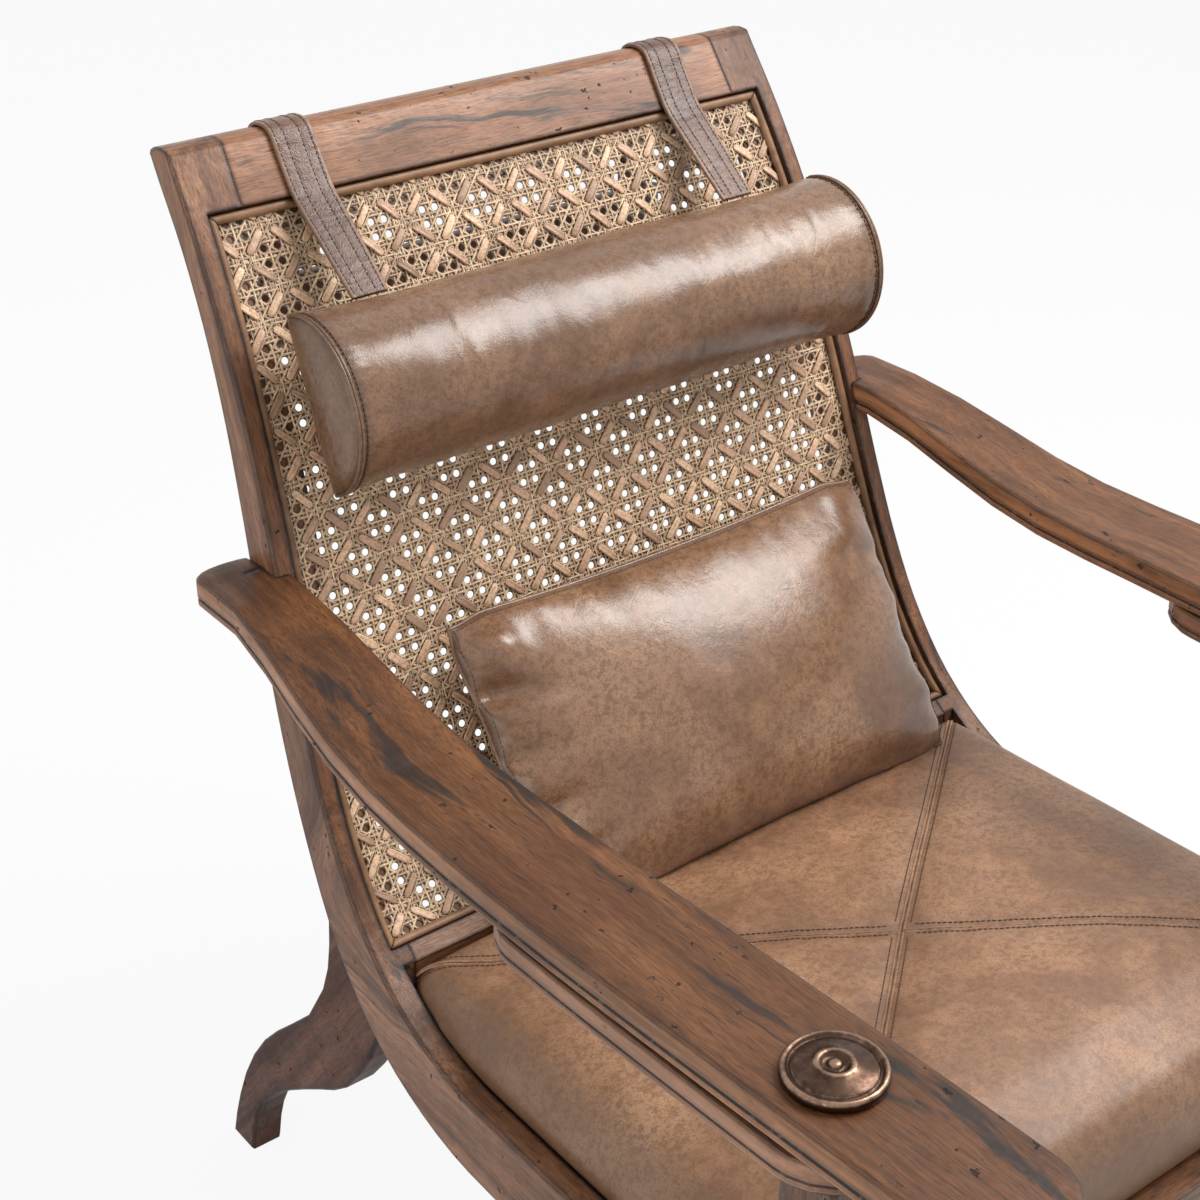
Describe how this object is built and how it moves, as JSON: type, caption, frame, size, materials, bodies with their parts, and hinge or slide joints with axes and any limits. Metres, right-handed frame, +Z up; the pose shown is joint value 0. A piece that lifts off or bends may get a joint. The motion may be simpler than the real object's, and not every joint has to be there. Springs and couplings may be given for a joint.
{
  "type": "planters chair",
  "caption": "Low reclining planters chair with a cane back, long dipped arms, swing-out leg-rest boards, leather seat, lumbar cushion and a strapped headrest roll.",
  "frame": {"origin": "on the floor, under the middle of the chair's bounding box", "axes": "+Z up, +Y towards the back of the chair, +X to the right for someone who stands in front and looks at the chair"},
  "size_m": [0.7958, 1.0392, 0.9475],
  "materials": {
    "walnut": "distressed satin",
    "bead_wood": "satin",
    "cane": "natural",
    "leather": "glossy, mottled",
    "strap_leather": "satin",
    "bronze": "dark, rubbed rims",
    "brass": "plain",
    "secondary_wood": "raw"
  },
  "bodies": {
    "chair": {"crest_rail": "walnut", "lower_back_rail": "walnut", "front_seat_rail": "walnut", "bead_top": "bead_wood", "bead_bottom": "bead_wood", "cane_panel": "cane", "seat_deck": "secondary_wood", "seat_pad": "leather", "side_frame_left": "walnut", "rear_leg_left": "walnut", "front_leg_left": "walnut", "arm_left": "walnut", "rosette_left": "bronze", "pivot_pin_left": "brass", "leg_collar_left": "walnut", "washer_below_left": "brass", "washer_above_left": "brass", "arm_dowel_left": "secondary_wood", "bead_left": "bead_wood", "seat_bearer_left": "secondary_wood", "rear_block_left": "secondary_wood", "front_block_left": "secondary_wood", "side_frame_right": "walnut", "rear_leg_right": "walnut", "front_leg_right": "walnut", "arm_right": "walnut", "rosette_right": "bronze", "pivot_pin_right": "brass", "leg_collar_right": "walnut", "washer_below_right": "brass", "washer_above_right": "brass", "arm_dowel_right": "secondary_wood", "bead_right": "bead_wood", "seat_bearer_right": "secondary_wood", "rear_block_right": "secondary_wood", "front_block_right": "secondary_wood"},
    "left_leg_rest": {"leg_rest_left": "walnut"},
    "right_leg_rest": {"leg_rest_right": "walnut"},
    "headrest": {"headrest_bolster": "leather", "headrest_counterweight": "strap_leather", "headrest_strap_left": "strap_leather", "headrest_strap_right": "strap_leather"},
    "lumbar": {"lumbar_cushion": "leather"}
  },
  "joints": [
    {"name": "leg_rest_left_swing", "type": "hinge", "parent": "chair", "child": "left_leg_rest", "pos_m": [-0.34199, -0.352, 0.564], "axis": [0, 0, 1], "range_deg": [0, 180]},
    {"name": "leg_rest_right_swing", "type": "hinge", "parent": "chair", "child": "right_leg_rest", "pos_m": [0.34199, -0.352, 0.564], "axis": [0, 0, -1], "range_deg": [0, 180]},
    {"name": "headrest_lift", "type": "slide", "parent": "chair", "child": "headrest", "axis": [0, 0, 1], "range_m": [0, 0.32]},
    {"name": "lumbar_lift", "type": "slide", "parent": "chair", "child": "lumbar", "axis": [0, -0.7071, 0.7071], "range_m": [0, 0.86]}
  ]
}
